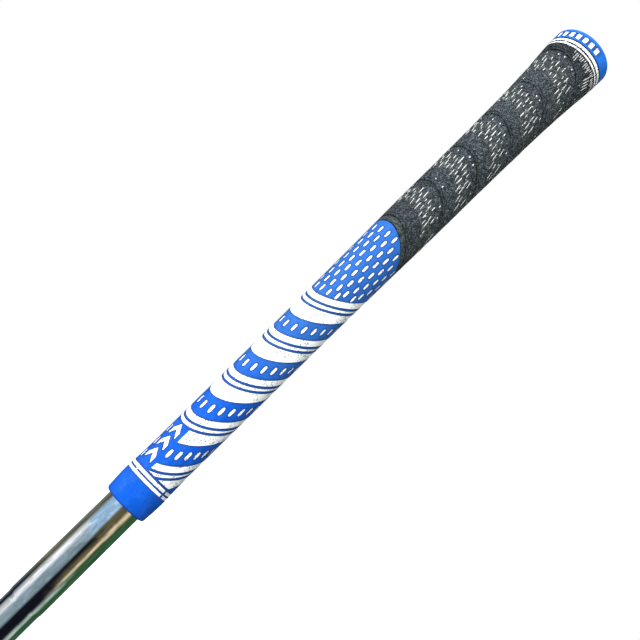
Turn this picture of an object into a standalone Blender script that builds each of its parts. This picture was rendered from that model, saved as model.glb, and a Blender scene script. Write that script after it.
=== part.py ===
"""Golf grip glued to a cut length of stepped steel shaft.

Units are metres. +Z runs along the shaft from its cut end to the grip's cap, and the
origin is the centre of the cut end. Places on the grip are given as a distance from
its mouth and an angle round the axis. Angle 0 faces -Y, and it grows towards +X.
"""

import math

import bmesh
import bpy

# Driving dimensions ---------------------------------------------------------------

SHAFT_STUB = 0.091
GRIP_LENGTH = 0.2723
SEGMENTS = 28

SHAFT_RADIUS = 0.007366
SHAFT_STEP_RADIUS = 0.00711
SHAFT_STEP_BELOW_MOUTH = 0.0483
SHAFT_STEP_LENGTH = 0.0012
SHAFT_WALL = 0.00055
TAPE_THICKNESS = 0.00025
TAPE_START = 0.0062

# Outer radius of the grip at distances from its mouth.
OUTLINE = (
    (0.0000, 0.00925),
    (0.0090, 0.00975),
    (0.0170, 0.00948),
    (0.0270, 0.00937),
    (0.0510, 0.00952),
    (0.1010, 0.00983),
    (0.1310, 0.01024),
    (0.1610, 0.01080),
    (0.1910, 0.01110),
    (0.2310, 0.01192),
    (0.2490, 0.01286),
    (0.2630, 0.01393),
    (0.2723, 0.01420),
)
LIP_ROUND = 0.0009
CAP_ROUND = 0.0013

# Gaps between pieces that touch: FIT_GAP under a layer, EDGE_GAP beside one.
FIT_GAP = 0.00025
EDGE_GAP = 0.0002
SEAM_GAP = 0.0003

# White fills lie in grooves of the lower sleeve.
FILL_DEPTH = 0.00010
FILL_THICKNESS = 0.00030
GROOVE_DEPTH = FILL_DEPTH + FILL_THICKNESS + FIT_GAP

MOUTH_RINGS = ((0.0111, 0.0124), (0.0130, 0.0144))
CAP_RINGS = ((0.2626, 0.2634), (0.2642, 0.2655))
CAP_START = 0.2662
CAP_RING_DEPTH = 0.0004

# Every band edge is a ring that leans over: its height above the front line is
# slant * (1 - cos(angle - FRONT_ANGLE)).
FRONT_ANGLE = math.radians(-41.0)
BAND_FIRST = 0.0183
BAND_PITCH = 0.0230
BAND_PITCH_EASE = 0.0002
BAND_COUNT = 4
TONGUE_TOP = (0.1490, -0.0085)

# Edges of the three white fills of a period, as (distance from the next period, slant).
WIDE_EDGES = ((-0.01250, 0.0092), (-0.00615, 0.0076))
MID_EDGES = ((-0.00515, 0.0079), (-0.00360, 0.0076))
STRIPE_EDGES = ((-0.00260, 0.0079), (0.0, 0.0088))
FILL_CLIP = 0.0152

# Plain panel beside the mouth, where the first wide fill is interrupted.
PANEL_ANGLES = (math.radians(-113.0), math.radians(-17.5))
PANEL_MARKS = (0.0172, 0.0232, 0.0292)
PANEL_MARK_ANGLES = (math.radians(-58.0), math.radians(-28.0))
PANEL_MARK_LEAN = 0.0032
PANEL_MARK_WIDTH = 0.0030

# Cord half: the smooth skins and the cord bands repeat along it.
LINE_FIRST = 0.1521
LINE_PITCH = 0.0217
LINE_PITCH_EASE = 0.0001
LINE_COUNT = 5
UPPER_SLANT = -0.0085
CORD_BAND = (-0.0130, -0.0043)
SKIN_THICKNESS = 0.0005
PLY_THICKNESS = 0.0006
CORD_RAISE = 0.00008

SPIGOT_RADIUS = 0.0105
SPIGOT_LENGTH = 0.0030
VENT_RADIUS = 0.0011
CAP_MARKS = 7
CAP_MARK_ANGLES = (math.radians(-70.0), math.radians(14.0))
CAP_MARK_EDGES = (0.2671, 0.2700)
CAP_MARK_SHARE = 0.60

TAPE_INNER = SHAFT_RADIUS + FIT_GAP
TAPE_OUTER = TAPE_INNER + TAPE_THICKNESS
SLEEVE_BORE = TAPE_OUTER + FIT_GAP
LIP_BORE = SHAFT_RADIUS + FIT_GAP
SHAFT_TOP = CAP_START - SPIGOT_LENGTH - SEAM_GAP

# (colour, roughness, metallic)
BLUE_RUBBER = ((0.020, 0.130, 0.730), 0.55, 0.0)
BLACK_RUBBER = ((0.030, 0.032, 0.035), 0.70, 0.0)
WHITE_FILL = ((0.900, 0.900, 0.900), 0.55, 0.0)
CORD_CLOTH = ((0.200, 0.200, 0.190), 0.90, 0.0)
CORE_RUBBER = ((0.050, 0.050, 0.050), 0.80, 0.0)
TAPE_PAPER = ((0.700, 0.640, 0.480), 0.80, 0.0)
CHROMED_STEEL = ((0.800, 0.810, 0.830), 0.08, 1.0)


# Helpers --------------------------------------------------------------------------

def clear_scene():
    for obj in list(bpy.data.objects):
        bpy.data.objects.remove(obj, do_unlink=True)


def outline_radius(distance):
    """Radius of the grip's outline, a smooth curve through OUTLINE."""
    points = OUTLINE
    distance = min(max(distance, points[0][0]), points[-1][0])
    last = len(points) - 2
    index = next(i for i in range(last + 1) if distance <= points[i + 1][0] or i == last)
    (z0, r0), (z1, r1) = points[index], points[index + 1]
    before = points[max(index - 1, 0)]
    after = points[min(index + 2, len(points) - 1)]
    slope0 = (r1 - before[1]) / (z1 - before[0])
    slope1 = (after[1] - r0) / (after[0] - z0)
    span = z1 - z0
    t = (distance - z0) / span
    curve = (2 * t**3 - 3 * t**2 + 1) * r0 + (3 * t**2 - 2 * t**3) * r1
    return curve + (t**3 - 2 * t**2 + t) * span * slope0 + (t**3 - t**2) * span * slope1


def lean(front, slant):
    """Distance from the mouth as a function of the angle, for an edge that leans."""
    return lambda angle: front + slant * (1 - math.cos(angle - FRONT_ANGLE))


def skin(front, slant=0.0, depth=0.0):
    """A row of points on the grip's outline, or depth under it."""
    height = lean(front, slant)
    return lambda angle: (outline_radius(height(angle)) - depth, height(angle))


def bore(front, radius, slant=0.0):
    """A row of points at a fixed radius."""
    height = lean(front, slant)
    return lambda angle: (radius, height(angle))


def band_start(index):
    """Front distance at which a slotted blue band starts."""
    return BAND_FIRST + BAND_PITCH * index - BAND_PITCH_EASE * index**2


def line_place(index):
    """Front distance of an engraved line of the cord half."""
    return LINE_FIRST + LINE_PITCH * index - LINE_PITCH_EASE * index**2


def material(look):
    colour, roughness, metallic = look
    name = "mat_%02d_%02d_%02d_%d" % (*[round(99 * c) for c in colour], metallic)
    found = bpy.data.materials.get(name)
    if found:
        return found
    made = bpy.data.materials.new(name)
    made.use_nodes = True
    made.diffuse_color = (*colour, 1.0)
    shader = made.node_tree.nodes["Principled BSDF"]
    shader.inputs["Base Color"].default_value = (*colour, 1.0)
    shader.inputs["Roughness"].default_value = roughness
    shader.inputs["Metallic"].default_value = metallic
    return made


def point_at(radius, distance, angle):
    return (radius * math.sin(angle), -radius * math.cos(angle), SHAFT_STUB + distance)


def finish(name, mesh_data, look):
    bmesh.ops.recalc_face_normals(mesh_data, faces=mesh_data.faces)
    mesh = bpy.data.meshes.new(name)
    mesh_data.to_mesh(mesh)
    mesh_data.free()
    mesh.shade_smooth()
    mesh.set_sharp_from_angle(angle=math.radians(35))
    obj = bpy.data.objects.new(name, mesh)
    bpy.context.collection.objects.link(obj)
    obj.data.materials.append(material(look))
    return obj


def ring(name, rows, look):
    """A closed ring whose section is the loop of rows."""
    mesh_data = bmesh.new()
    angles = [2 * math.pi * i / SEGMENTS for i in range(SEGMENTS)]
    loops = [[mesh_data.verts.new(point_at(*row(a), a)) for a in angles] for row in rows]
    for loop, following in zip(loops, loops[1:] + loops[:1]):
        for i in range(SEGMENTS):
            j = (i + 1) % SEGMENTS
            mesh_data.faces.new((loop[i], loop[j], following[j], following[i]))
    return finish(name, mesh_data, look)


def arc(name, rows, angles, look):
    """A strip with two ends, whose section is the loop of rows."""
    mesh_data = bmesh.new()
    sections = [[mesh_data.verts.new(point_at(*row(a), a)) for row in rows] for a in angles]
    for section, following in zip(sections, sections[1:]):
        for i in range(len(rows)):
            j = (i + 1) % len(rows)
            mesh_data.faces.new((section[i], section[j], following[j], following[i]))
    mesh_data.faces.new(sections[0])
    mesh_data.faces.new(sections[-1])
    return finish(name, mesh_data, look)


def spread(first, last, count):
    return [first + (last - first) * i / count for i in range(count + 1)]


def groove(low, high, depth):
    """Rows of a groove between two (front, slant) edges, EDGE_GAP / 2 wider each side."""
    low = (low[0] - EDGE_GAP / 2, low[1])
    high = (high[0] + EDGE_GAP / 2, high[1])
    return [skin(*low), skin(*low, depth), skin(*high, depth), skin(*high)]


def fill_rows(low, high, top=FILL_DEPTH, bottom=FILL_DEPTH + FILL_THICKNESS):
    """Section of a fill between two (front, slant) edges."""
    low = (low[0] + EDGE_GAP / 2, low[1])
    high = (high[0] - EDGE_GAP / 2, high[1])
    return [skin(*low, top), skin(*high, top), skin(*high, bottom), skin(*low, bottom)]


def period_edges(index, edges):
    """The (front, slant) edges of a fill of the period that ends at band index."""
    return [(band_start(index) + offset, slant) for offset, slant in edges]


def cut(target, cutter):
    """Cuts the cutter's shape out of the target and hides the cutter."""
    cutter.hide_render = True
    cutter.display_type = "WIRE"
    modifier = target.modifiers.new("cut_" + cutter.name, "BOOLEAN")
    modifier.operation = "DIFFERENCE"
    modifier.solver = "EXACT"
    modifier.object = cutter


# Shaft and tape -------------------------------------------------------------------

def make_shaft():
    step_top = -SHAFT_STEP_BELOW_MOUTH + SHAFT_STEP_LENGTH / 2
    step_foot = -SHAFT_STEP_BELOW_MOUTH - SHAFT_STEP_LENGTH / 2
    ring("shaft_tube", [
        bore(-SHAFT_STUB, SHAFT_STEP_RADIUS),
        bore(step_foot, SHAFT_STEP_RADIUS),
        bore(step_top, SHAFT_RADIUS),
        bore(SHAFT_TOP, SHAFT_RADIUS),
        bore(SHAFT_TOP, SHAFT_RADIUS - SHAFT_WALL),
        bore(step_top, SHAFT_RADIUS - SHAFT_WALL),
        bore(step_foot, SHAFT_STEP_RADIUS - SHAFT_WALL),
        bore(-SHAFT_STUB, SHAFT_STEP_RADIUS - SHAFT_WALL),
    ], CHROMED_STEEL)


def make_tape():
    ring("grip_tape", [
        bore(TAPE_START, TAPE_INNER),
        bore(TAPE_START, TAPE_OUTER),
        bore(SHAFT_TOP - SEAM_GAP, TAPE_OUTER),
        bore(SHAFT_TOP - SEAM_GAP, TAPE_INNER),
    ], TAPE_PAPER)


# Lower half -----------------------------------------------------------------------

def make_lower_sleeve():
    """The blue rubber: lip, grooves for the white fills and the tongue."""
    rows = [bore(0.0, LIP_BORE)]
    for step in range(4):
        turn = step * math.pi / 6
        rows.append(skin(LIP_ROUND * (1 - math.cos(turn)), depth=LIP_ROUND * (1 - math.sin(turn))))
    for low, high in MOUTH_RINGS:
        rows += groove((low, 0.0), (high, 0.0), GROOVE_DEPTH)
    rows += [skin(0.0190, 0.0020), skin(0.0270, 0.0065)]
    for index in range(1, BAND_COUNT + 1):
        if index > 1:
            rows += groove(*period_edges(index, WIDE_EDGES), GROOVE_DEPTH)
        rows += groove(*period_edges(index, MID_EDGES), GROOVE_DEPTH)
        rows += groove(*period_edges(index, STRIPE_EDGES), GROOVE_DEPTH)
    tongue_low = (band_start(BAND_COUNT), STRIPE_EDGES[1][1])
    tongue_top = (TONGUE_TOP[0] - SEAM_GAP / 2, TONGUE_TOP[1])
    for share in (0.33, 0.67, 1.0):
        front = tongue_low[0] + share * (tongue_top[0] - tongue_low[0])
        slant = tongue_low[1] + share * (tongue_top[1] - tongue_low[1])
        rows.append(skin(front, slant))
    rows.append(bore(tongue_top[0], SLEEVE_BORE, tongue_top[1]))
    rows += [bore(TAPE_START - SEAM_GAP, SLEEVE_BORE), bore(TAPE_START - SEAM_GAP, LIP_BORE)]
    return ring("lower_sleeve", rows, BLUE_RUBBER)


def make_mouth_rings():
    for number, (low, high) in enumerate(MOUTH_RINGS, 1):
        ring("mouth_ring_%d" % number, fill_rows((low, 0.0), (high, 0.0)), WHITE_FILL)


def make_white_fills():
    """The closed fills of the full periods."""
    for index in range(1, BAND_COUNT + 1):
        if index > 1:
            rows = fill_rows(*period_edges(index, WIDE_EDGES))
            ring("white_wide_%d" % index, rows, WHITE_FILL)
        ring("white_mid_%d" % index, fill_rows(*period_edges(index, MID_EDGES)), WHITE_FILL)
        rows = fill_rows(*period_edges(index, STRIPE_EDGES))
        ring("white_stripe_%d" % index, rows, WHITE_FILL)


def clipped_rows(low, high, grow, top, bottom):
    """Section of a fill that the clip line beside the mouth rings cuts off."""
    low_height = lean(low[0] - grow, low[1])
    high_height = lean(high[0] + grow, high[1])
    clip = FILL_CLIP - grow

    def row(height, depth):
        def point(angle):
            distance = max(height(angle), clip)
            return outline_radius(distance) - depth, distance
        return point

    return [row(low_height, top), row(high_height, top), row(high_height, bottom),
            row(low_height, bottom)]


def clipped_angles(low, high, grow):
    """Angles of a clipped fill: clear of the panel, and where its width is worth having."""
    first = PANEL_ANGLES[1] - grow / outline_radius(FILL_CLIP)
    last = PANEL_ANGLES[0] + 2 * math.pi + grow / outline_radius(FILL_CLIP)
    least = FILL_CLIP + EDGE_GAP
    inside = (least - high[0]) / high[1]
    if inside > 0:
        reach = math.acos(1 - inside)
        first = max(first, FRONT_ANGLE + reach)
        last = min(last, FRONT_ANGLE + 2 * math.pi - reach)
    return spread(first, last, 24)


def make_clipped_fills(sleeve):
    """The fills beside the mouth that the clip line or the panel interrupts."""
    shapes = {
        "white_wide_0": period_edges(0, WIDE_EDGES),
        "white_mid_0": period_edges(0, MID_EDGES),
        "white_stripe_0": period_edges(0, STRIPE_EDGES),
        "white_wide_1": period_edges(1, WIDE_EDGES),
    }
    half = EDGE_GAP / 2
    for name, (low, high) in shapes.items():
        angles = clipped_angles(low, high, -half)
        rows = clipped_rows(low, high, -half, FILL_DEPTH, FILL_DEPTH + FILL_THICKNESS)
        arc(name, rows, angles, WHITE_FILL)
        angles = clipped_angles(low, high, half)
        rows = clipped_rows(low, high, half, -GROOVE_DEPTH, GROOVE_DEPTH)
        cut(sleeve, arc(name + "_cutter", rows, angles, WHITE_FILL))


def chevron_rows(place, grow, top, bottom):
    """Section of a chevron that points to the cap."""
    middle = sum(PANEL_MARK_ANGLES) / 2
    reach = PANEL_MARK_ANGLES[1] - middle

    def row(offset, depth):
        def point(angle):
            distance = place + offset + PANEL_MARK_LEAN * (1 - abs(angle - middle) / reach)
            return outline_radius(distance) - depth, distance
        return point

    low, high = -grow, PANEL_MARK_WIDTH + grow
    return [row(low, top), row(high, top), row(high, bottom), row(low, bottom)]


def make_panel_marks(sleeve):
    for number, place in enumerate(PANEL_MARKS, 1):
        name = "panel_mark_%d" % number
        rows = chevron_rows(place, 0.0, FILL_DEPTH, FILL_DEPTH + FILL_THICKNESS)
        arc(name, rows, spread(*PANEL_MARK_ANGLES, 4), WHITE_FILL)
        margin = EDGE_GAP / outline_radius(place)
        angles = spread(PANEL_MARK_ANGLES[0] - margin, PANEL_MARK_ANGLES[1] + margin, 4)
        rows = chevron_rows(place, EDGE_GAP, -GROOVE_DEPTH, GROOVE_DEPTH)
        cut(sleeve, arc(name + "_cutter", rows, angles, WHITE_FILL))


# Upper half -----------------------------------------------------------------------

def seam_start():
    """Edge at which the upper half starts, just past the tongue."""
    return TONGUE_TOP[0] + SEAM_GAP / 2, TONGUE_TOP[1]


def cord_band(index):
    """The (front, slant) edges of the cord band before an engraved line."""
    return [(line_place(index) + offset, UPPER_SLANT) for offset in CORD_BAND]


def make_upper_core():
    outer_depth = SKIN_THICKNESS + PLY_THICKNESS + 2 * FIT_GAP
    front, slant = seam_start()
    top = CAP_START - SEAM_GAP
    seat = top - SPIGOT_LENGTH - SEAM_GAP
    rows = [bore(front, SLEEVE_BORE, slant), skin(front, slant, outer_depth)]
    rows += [skin(distance, -0.004, outer_depth) for distance in (0.170, 0.190, 0.210, 0.230)]
    rows += [skin(distance, 0.0, outer_depth) for distance in (0.242, 0.252, 0.262, top)]
    rows += [bore(top, SPIGOT_RADIUS + FIT_GAP), bore(seat, SPIGOT_RADIUS + FIT_GAP)]
    rows += [bore(seat, SLEEVE_BORE)]
    ring("upper_core", rows, CORE_RUBBER)


def make_cord_ply():
    """The cord cloth: thin under the skins, and raised to the surface in the bands."""
    front, slant = seam_start()
    top = CAP_START - SEAM_GAP
    upper = SKIN_THICKNESS + FIT_GAP
    lower = upper + PLY_THICKNESS
    rows = [skin(front, slant, lower), skin(front, slant, upper)]
    for index in range(1, LINE_COUNT + 1):
        low, high = cord_band(index)
        rows += [skin(*low, upper), skin(*low, -CORD_RAISE)]
        rows += [skin(*high, -CORD_RAISE), skin(*high, upper)]
    rows += [skin(top, 0.0, upper), skin(top, 0.0, lower)]
    rows += [skin(distance, 0.0, lower) for distance in (0.262, 0.252, 0.242)]
    rows += [skin(distance, -0.004, lower) for distance in (0.230, 0.210, 0.190, 0.170)]
    ring("cord_ply", rows, CORD_CLOTH)


def make_smooth_bands():
    """The black skins between the cord bands, and the plain end below the cap."""
    for index in range(LINE_COUNT + 1):
        low = seam_start()
        if index > 0:
            low = cord_band(index)[1]
            low = (low[0] + EDGE_GAP, low[1])
        rows = [skin(*low, SKIN_THICKNESS), skin(*low)]
        if index < LINE_COUNT:
            high = cord_band(index + 1)[0]
            high = (high[0] - EDGE_GAP, high[1])
            rows += [skin(line_place(index), UPPER_SLANT)]
        else:
            high = (CAP_START - SEAM_GAP, 0.0)
            for ring_low, ring_high in CAP_RINGS:
                rows += groove((ring_low, 0.0), (ring_high, 0.0), CAP_RING_DEPTH)
        rows += [skin(*high), skin(*high, SKIN_THICKNESS)]
        ring("smooth_band_%d" % index, rows, BLACK_RUBBER)


def make_cap_rings():
    top = FILL_DEPTH / 2
    for number, (low, high) in enumerate(CAP_RINGS, 1):
        rows = fill_rows((low, 0.0), (high, 0.0), top, CAP_RING_DEPTH - FIT_GAP / 2)
        ring("cap_ring_%d" % number, rows, WHITE_FILL)


# Cap ------------------------------------------------------------------------------

def make_end_cap():
    foot = CAP_START - SPIGOT_LENGTH
    rows = [bore(foot, VENT_RADIUS), bore(foot, SPIGOT_RADIUS), bore(CAP_START, SPIGOT_RADIUS)]
    rows += [skin(CAP_START), skin(GRIP_LENGTH - CAP_ROUND)]
    for step in range(1, 4):
        turn = step * math.pi / 6
        distance = GRIP_LENGTH - CAP_ROUND * (1 - math.sin(turn))
        rows.append(skin(distance, depth=CAP_ROUND * (1 - math.cos(turn))))
    rows.append(bore(GRIP_LENGTH, VENT_RADIUS))
    return ring("end_cap", rows, BLUE_RUBBER)


def make_cap_marks(cap):
    """White bars sunk in the cap's side."""
    pitch = (CAP_MARK_ANGLES[1] - CAP_MARK_ANGLES[0]) / (CAP_MARKS - 1)
    half = CAP_MARK_SHARE * pitch / 2
    low, high = [(distance, 0.0) for distance in CAP_MARK_EDGES]
    for number in range(CAP_MARKS):
        name = "cap_mark_%d" % (number + 1)
        middle = CAP_MARK_ANGLES[0] + number * pitch
        angles = spread(middle - half, middle + half, 3)
        arc(name, fill_rows(low, high), angles, WHITE_FILL)
        margin = EDGE_GAP / outline_radius(CAP_START)
        angles = spread(middle - half - margin, middle + half + margin, 3)
        outer, inner = groove(low, high, -GROOVE_DEPTH), groove(low, high, GROOVE_DEPTH)
        rows = outer[1:3] + inner[2:0:-1]
        cut(cap, arc(name + "_cutter", rows, angles, WHITE_FILL))


def main():
    clear_scene()
    make_shaft()
    make_tape()
    sleeve = make_lower_sleeve()
    make_mouth_rings()
    make_white_fills()
    make_clipped_fills(sleeve)
    make_panel_marks(sleeve)
    make_upper_core()
    make_cord_ply()
    make_smooth_bands()
    make_cap_rings()
    make_cap_marks(make_end_cap())


main()
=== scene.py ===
"""Looks of a golf grip on a cut length of stepped, chromed steel shaft.

Distances along the grip are in metres from its mouth, angles are in radians round the
axis: angle 0 faces -Y and it grows towards +X. Every fine piece repeats the CAD's
outline and band edges, and stands for the CAD node that it replaces.
"""

import math
import random

import bmesh
import bpy
import numpy as np
from mathutils import Matrix, Vector, noise
from mathutils.geometry import delaunay_2d_cdt


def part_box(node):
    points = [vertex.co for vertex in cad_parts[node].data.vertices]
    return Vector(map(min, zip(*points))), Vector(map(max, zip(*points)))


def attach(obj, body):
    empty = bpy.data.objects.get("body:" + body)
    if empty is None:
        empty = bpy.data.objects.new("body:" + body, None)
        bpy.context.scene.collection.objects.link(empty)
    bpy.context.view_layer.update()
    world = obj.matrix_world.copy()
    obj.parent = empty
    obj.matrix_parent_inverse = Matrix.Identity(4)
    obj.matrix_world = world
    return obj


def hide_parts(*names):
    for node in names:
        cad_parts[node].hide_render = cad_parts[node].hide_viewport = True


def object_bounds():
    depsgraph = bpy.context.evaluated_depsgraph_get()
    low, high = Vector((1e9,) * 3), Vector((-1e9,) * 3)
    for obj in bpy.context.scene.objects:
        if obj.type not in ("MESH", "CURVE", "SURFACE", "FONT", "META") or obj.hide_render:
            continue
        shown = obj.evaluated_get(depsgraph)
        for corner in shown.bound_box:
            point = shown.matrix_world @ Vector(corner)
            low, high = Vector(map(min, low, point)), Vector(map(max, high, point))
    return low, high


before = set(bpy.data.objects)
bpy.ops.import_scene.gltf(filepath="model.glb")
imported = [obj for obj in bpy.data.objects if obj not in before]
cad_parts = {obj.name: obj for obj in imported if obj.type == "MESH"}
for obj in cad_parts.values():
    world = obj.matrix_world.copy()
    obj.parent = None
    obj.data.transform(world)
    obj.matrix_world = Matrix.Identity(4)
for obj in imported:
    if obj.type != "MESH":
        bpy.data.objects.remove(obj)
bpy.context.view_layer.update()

MM = 0.001
TURN = 2 * math.pi

# Places taken from the frame ------------------------------------------

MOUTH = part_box("lower_sleeve")[0].z
GRIP_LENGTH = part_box("end_cap")[1].z - MOUTH
SHAFT_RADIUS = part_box("shaft_tube")[1].x
SHAFT_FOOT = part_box("shaft_tube")[0].z - MOUTH
SHAFT_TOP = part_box("shaft_tube")[1].z - MOUTH

# Outline and pattern, as in the CAD -----------------------------------

OUTLINE = (
    (0.0000, 0.00925), (0.0090, 0.00975), (0.0170, 0.00948), (0.0270, 0.00937),
    (0.0510, 0.00952), (0.1010, 0.00983), (0.1310, 0.01024), (0.1610, 0.01080),
    (0.1910, 0.01110), (0.2310, 0.01192), (0.2490, 0.01286), (0.2630, 0.01393),
    (0.2723, 0.01420),
)
CAP_ROUND = 1.3 * MM
LIP_BORE = SHAFT_RADIUS + 0.25 * MM
SLEEVE_BORE = SHAFT_RADIUS + 0.75 * MM
TAPE_START = 6.2 * MM
SHAFT_STEP_RADIUS = 7.11 * MM
SHAFT_WALL = 0.55 * MM

FRONT = math.radians(-41.0)
MOUTH_RINGS = ((11.1 * MM, 12.4 * MM), (13.0 * MM, 14.4 * MM))
CAP_RINGS = ((262.6 * MM, 263.4 * MM), (264.2 * MM, 265.5 * MM))
CAP_START = 266.2 * MM
BAND_FIRST, BAND_PITCH, BAND_PITCH_EASE, BAND_COUNT = 18.3 * MM, 23.0 * MM, 0.2 * MM, 4
WIDE_EDGES = ((-12.50 * MM, 9.2 * MM), (-6.15 * MM, 7.6 * MM))
MID_EDGES = ((-5.15 * MM, 7.9 * MM), (-3.60 * MM, 7.6 * MM))
STRIPE_EDGES = ((-2.60 * MM, 7.9 * MM), (0.0, 8.8 * MM))
FILL_CLIP = 15.2 * MM
TONGUE_TOP = (149.0 * MM, -8.5 * MM)
PANEL = (math.radians(-113.0), math.radians(-17.5))
LINE_FIRST, LINE_PITCH, LINE_PITCH_EASE, LINE_COUNT = 152.1 * MM, 21.7 * MM, 0.1 * MM, 5
UPPER_SLANT = -8.5 * MM
CORD_BAND = (-13.0 * MM, -4.3 * MM)
PANEL_MARKS = (17.2 * MM, 23.2 * MM, 29.2 * MM)
PANEL_MARK_ANGLES = (math.radians(-58.0), math.radians(-28.0))
PANEL_MARK_LEAN, PANEL_MARK_WIDTH = 3.2 * MM, 3.0 * MM
VENT_RADIUS, SPIGOT_RADIUS, SPIGOT_LENGTH = 1.1 * MM, 10.5 * MM, 3.0 * MM
CAP_MARKS, CAP_MARK_SHARE = 7, 0.60
CAP_MARK_ANGLES = (math.radians(-70.0), math.radians(14.0))
CAP_MARK_EDGES = (267.1 * MM, 270.0 * MM)

# Fineness and small shapes of the visual surface ----------------------

AROUND = 144
LIP_ROUND = 1.1 * MM
SHAFT_STEP_BELOW, SHAFT_STEP_LENGTH = 47.4 * MM, 3.0 * MM
SEAM_GAP = 0.15 * MM
RECESS = 0.30 * MM
FILL_SINK = 0.10 * MM
FILL_HEIGHT = 0.18 * MM
FILL_UNDERLAP = 0.07 * MM
TOP_EDGE_DROP = 0.12 * MM
SCATTER, UNROLL_AT = 0.85 * MM, 60 * MM
EDGE_SHADE, LINE_SHADE = 0.45 * MM, 0.34 * MM
COMPANION = 1.5 * MM
WALL_OFFSETS = (-0.08 * MM, 0.02 * MM, 0.10 * MM, 0.18 * MM)
BAND_SLOT, TONGUE_SLOT, SLOT_POWER = (1.95 * MM, 0.64 * MM), (1.70 * MM, 0.54 * MM), 2.7
SLOTS_IN_BAND = 18
SLOTS_IN_ROW = 17
TONGUE_ROW_FIRST, TONGUE_ROW_PITCH, TONGUE_ROWS = 110.4 * MM, 4.23 * MM, 9
TONGUE_SLOT_SHIFT = 1.4 * MM
PANEL_SIDE_SLOTS = (18.4 * MM, 24.8 * MM, 31.2 * MM)
PANEL_SIDE_ANGLE = math.radians(-70.5)
NOTCH_HALF = math.radians(2.6)
SEAM = FRONT - 1.75 * TURN / SLOTS_IN_ROW
BRIDGE_HALF_WIDTH = 0.42 * MM
MOULD_SEAM = math.radians(58.0)
CAP_STRANDS_MIDDLE = math.radians(35.0)
STRANDS_IN_BAND, LOOSE_STRANDS, STRAY_STRANDS, CAP_STRANDS = 84, 10, 13, 88
STRAND_STAGGER = (1.6 * MM, 6.0 * MM, 3.3 * MM, 7.6 * MM)
STRAND_LENGTHS = (2.6 * MM, 3.2 * MM, 3.8 * MM, 4.4 * MM, 5.0 * MM, 6.0 * MM)
CAP_BARS, CAP_BAR_LENGTH, CAP_BAR_WIDTH = 4, 6.0 * MM, 0.70 * MM
CLOTH_AROUND, CLOTH_ROWS, CLOTH_LIFT = 288, 30, 0.07 * MM
CAP_MARK_CORNER, FACE_DIP = 0.5 * MM, 0.25 * MM
ROOM_GAIN = (0.825, 1.675)
CAMERA_AWAY, CAMERA_PAST_MOUTH, CAMERA_LENS = 303.5 * MM, 33.7 * MM, 43.82
CAMERA_PITCH, CAMERA_TURN, CAMERA_ROLL = (math.radians(v) for v in (12.7, 0.391, 44.504))
AMBIENT, LIGHT_SIZE = (0.27, 0.30, 0.29), 0.9


# Outline and edges ----------------------------------------------------

def outline_radius(distance):
    """Radius of the grip's outline, a smooth curve through OUTLINE."""
    distance = min(max(distance, OUTLINE[0][0]), OUTLINE[-1][0])
    last = len(OUTLINE) - 2
    index = next(i for i in range(last + 1) if distance <= OUTLINE[i + 1][0] or i == last)
    (z0, r0), (z1, r1) = OUTLINE[index], OUTLINE[index + 1]
    before, after = OUTLINE[max(index - 1, 0)], OUTLINE[min(index + 2, last + 1)]
    slope0 = (r1 - before[1]) / (z1 - before[0])
    slope1 = (after[1] - r0) / (after[0] - z0)
    span = z1 - z0
    t = (distance - z0) / span
    curve = (2 * t**3 - 3 * t**2 + 1) * r0 + (3 * t**2 - 2 * t**3) * r1
    return curve + (t**3 - 2 * t**2 + t) * span * slope0 + (t**3 - t**2) * span * slope1


OUTLINE_AT = np.linspace(0.0, OUTLINE[-1][0], 1351)
OUTLINE_RADII = np.array([outline_radius(d) for d in OUTLINE_AT])


def radius_at(distance):
    return np.interp(distance, OUTLINE_AT, OUTLINE_RADII)


def lean(edge, angle):
    """Distance of a leaning (front, slant) edge at an angle."""
    return edge[0] + edge[1] * (1 - np.cos(angle - FRONT))


def beside(edge, angle, shift):
    """Distance of a place that is moved across a leaning edge."""
    return lean(edge, angle) + shift * squeeze(edge, angle)


def squeeze(edge, angle):
    """How much a length across a leaning edge grows when it is measured along the grip."""
    slope = edge[1] * np.sin(angle - FRONT) / radius_at(edge[0])
    return np.sqrt(1 + slope**2)


def band_start(index):
    return BAND_FIRST + BAND_PITCH * index - BAND_PITCH_EASE * index**2


def line_place(index):
    return LINE_FIRST + LINE_PITCH * index - LINE_PITCH_EASE * index**2


def period(index, edges):
    return [(band_start(index) + offset, slant) for offset, slant in edges]


def wrap(angle):
    """The angle brought to -pi..pi."""
    return (angle + math.pi) % TURN - math.pi


def place(angle, distance, radius):
    """Points in the frame, as an array of rows x, y, z."""
    angle, distance, radius = np.broadcast_arrays(angle, distance, radius)
    return np.stack([radius * np.sin(angle), -radius * np.cos(angle), MOUTH + distance], -1)


# Making pieces --------------------------------------------------------

def add_piece(name, points, faces, material, replaced=(), slot=None, sharp=38.0):
    mesh = bpy.data.meshes.new(name)
    mesh.from_pydata([tuple(p) for p in points], [], [tuple(f) for f in faces])
    work = bmesh.new()
    work.from_mesh(mesh)
    bmesh.ops.remove_doubles(work, verts=work.verts, dist=1e-7)
    bmesh.ops.recalc_face_normals(work, faces=work.faces)
    work.to_mesh(mesh)
    work.free()
    mesh.shade_smooth()
    mesh.set_sharp_from_angle(angle=math.radians(sharp))
    piece = bpy.data.objects.new(name, mesh)
    bpy.context.scene.collection.objects.link(piece)
    mesh.materials.append(material)
    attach(piece, "root")
    if replaced:
        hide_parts(*replaced)
    return piece


def strips(rows, count, closed_around=True, closed_section=True):
    """Faces between rows of count points each, laid out one row after the other."""
    faces = []
    last = rows if closed_section else rows - 1
    around = count if closed_around else count - 1
    for i in range(last):
        k = (i + 1) % rows
        for j in range(around):
            m = (j + 1) % count
            faces.append((i * count + j, i * count + m, k * count + m, k * count + j))
    return faces


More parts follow.
